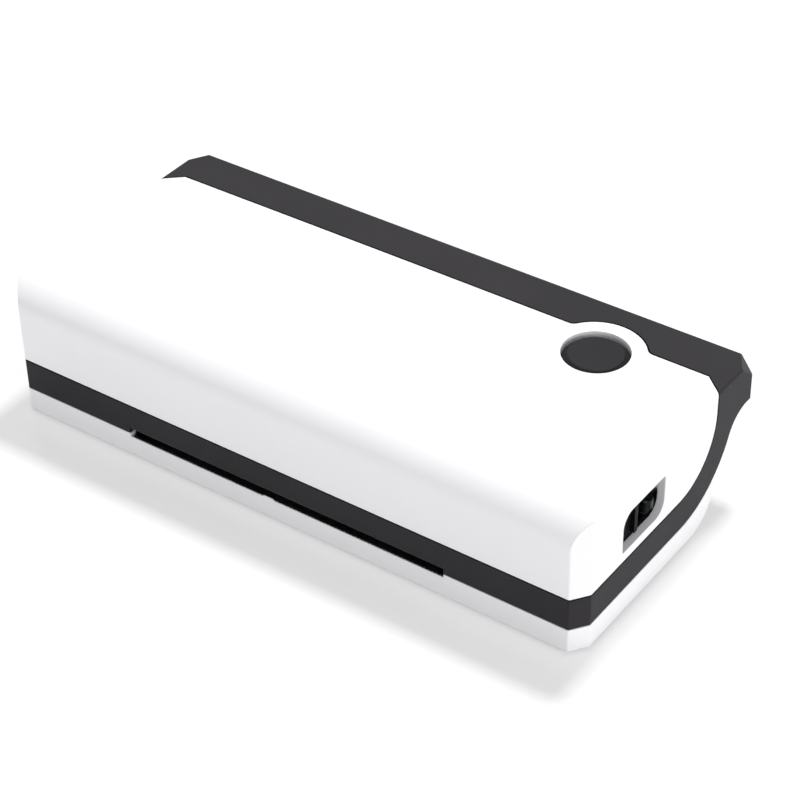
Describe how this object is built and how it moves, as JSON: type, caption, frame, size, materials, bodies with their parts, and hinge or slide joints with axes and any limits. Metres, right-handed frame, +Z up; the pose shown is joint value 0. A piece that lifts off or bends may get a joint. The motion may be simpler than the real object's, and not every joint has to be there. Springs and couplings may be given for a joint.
{
  "type": "desktop label printer",
  "caption": "Low desktop thermal label printer: white box, dark band sweeping up to a hooded rear, exit slot across the front, round push button on the hinged lid, finger windows in the sides.",
  "frame": {"origin": "on the desk, under the middle of the printer's bounding box", "axes": "+X to the printer's right, along its width; +Y to its rear; +Z up"},
  "size_m": [0.214, 0.097, 0.0486],
  "materials": {
    "white_shell": "smooth white ABS",
    "dark_trim": "fine-grained dark grey ABS",
    "dark_button": "dark grey, slightly darker than the trim",
    "latch_plastic": "dark POM",
    "black_plastic": "black",
    "guide_plastic": "natural POM",
    "rubber": "matt black",
    "steel": "zinc-plated",
    "aluminium": "bare",
    "ceramic": "glazed ceramic",
    "board": "green solder mask"
  },
  "bodies": {
    "base": {"base_tray": "white_shell", "foot_front_left": "rubber", "foot_front_right": "rubber", "foot_rear_left": "rubber", "foot_rear_right": "rubber", "screw_front_left": "steel", "screw_front_right": "steel", "screw_rear_left": "steel", "screw_rear_right": "steel", "hinge_pin_left": "steel", "hinge_pin_right": "steel", "chassis_frame": "black_plastic", "tear_bar": "steel", "gap_sensor": "black_plastic", "platen_bush_left": "guide_plastic", "platen_bush_right": "guide_plastic", "idler_axle": "steel", "motor_body": "steel", "motor_bracket": "steel", "main_board": "board", "usb_port": "steel", "power_jack": "black_plastic", "power_switch_body": "black_plastic"},
    "lid": {"lid_cover": "white_shell", "trim_band": "dark_trim", "button_board": "board", "tact_switch": "black_plastic", "button_spring": "steel", "latch_bracket_left": "latch_plastic", "latch_bracket_right": "latch_plastic", "head_carrier": "black_plastic", "head_spring_left": "steel", "head_spring_middle": "steel", "head_spring_right": "steel"},
    "button": {"button_cap": "dark_button"},
    "latch": {"latch_bar": "latch_plastic", "latch_tab_left": "latch_plastic", "latch_tab_right": "latch_plastic", "latch_hook_left": "latch_plastic", "latch_hook_right": "latch_plastic"},
    "head": {"print_head": "ceramic", "heat_sink": "aluminium"},
    "platen": {"platen_shaft": "steel", "platen_rubber": "rubber", "platen_gear": "guide_plastic"},
    "idler": {"idler_gear": "guide_plastic"},
    "rotor": {"motor_shaft": "steel", "motor_pinion": "guide_plastic"},
    "guide_right": {"guide_right": "guide_plastic"},
    "guide_left": {"guide_left": "guide_plastic"},
    "pinion": {"guide_pinion": "guide_plastic"},
    "switch_key": {"power_switch_key": "black_plastic"}
  },
  "joints": [
    {"name": "lid_hinge", "type": "hinge", "parent": "base", "child": "lid", "pos_m": [0, 0.0287, 0.01756], "axis": [-1, 0, 0], "range_deg": [0, 75]},
    {"name": "button_press", "type": "slide", "parent": "lid", "child": "button", "axis": [0, 0, -1], "range_m": [0, 0.0012], "stiffness_N_per_m": 600, "deforming": ["button_spring"]},
    {"name": "latch_slide", "type": "slide", "parent": "lid", "child": "latch", "axis": [0, 1, 0], "range_m": [0, 0.006]},
    {"name": "head_float", "type": "slide", "parent": "lid", "child": "head", "axis": [0, 0, 1], "range_m": [0, 0.0008], "stiffness_N_per_m": 3000, "springref_m": -0.003, "deforming": ["head_spring_left", "head_spring_middle", "head_spring_right"]},
    {"name": "platen_spin", "type": "hinge", "parent": "base", "child": "platen", "pos_m": [0, -0.0355, 0.008], "axis": [1, 0, 0], "continuous": true},
    {"name": "idler_spin", "type": "hinge", "parent": "base", "child": "idler", "pos_m": [-0.069, -0.02317, 0.016], "axis": [1, 0, 0], "continuous": true},
    {"name": "motor_spin", "type": "hinge", "parent": "base", "child": "rotor", "pos_m": [-0.069, -0.01074, 0.022], "axis": [1, 0, 0], "continuous": true},
    {"name": "guide_right_slide", "type": "slide", "parent": "base", "child": "guide_right", "axis": [-1, 0, 0], "range_m": [0, 0.034]},
    {"name": "guide_left_slide", "type": "slide", "parent": "base", "child": "guide_left", "axis": [1, 0, 0], "range_m": [0, 0.034]},
    {"name": "guide_pinion_spin", "type": "hinge", "parent": "base", "child": "pinion", "pos_m": [0, -0.0015, 0.009], "axis": [0, 0, 1], "range_deg": [0, 325]},
    {"name": "power_rocker", "type": "hinge", "parent": "base", "child": "switch_key", "pos_m": [-0.078, 0.0245, 0.014], "axis": [0, 0, 1], "range_deg": [0, 16]}
  ],
  "couplings": [
    {"joint": "idler_spin", "follows": "platen_spin", "ratio": -0.44118},
    {"joint": "motor_spin", "follows": "platen_spin", "ratio": 1.25},
    {"joint": "guide_left_slide", "follows": "guide_right_slide", "ratio": 1},
    {"joint": "guide_pinion_spin", "follows": "guide_right_slide", "rad_per_m": 166.67}
  ]
}
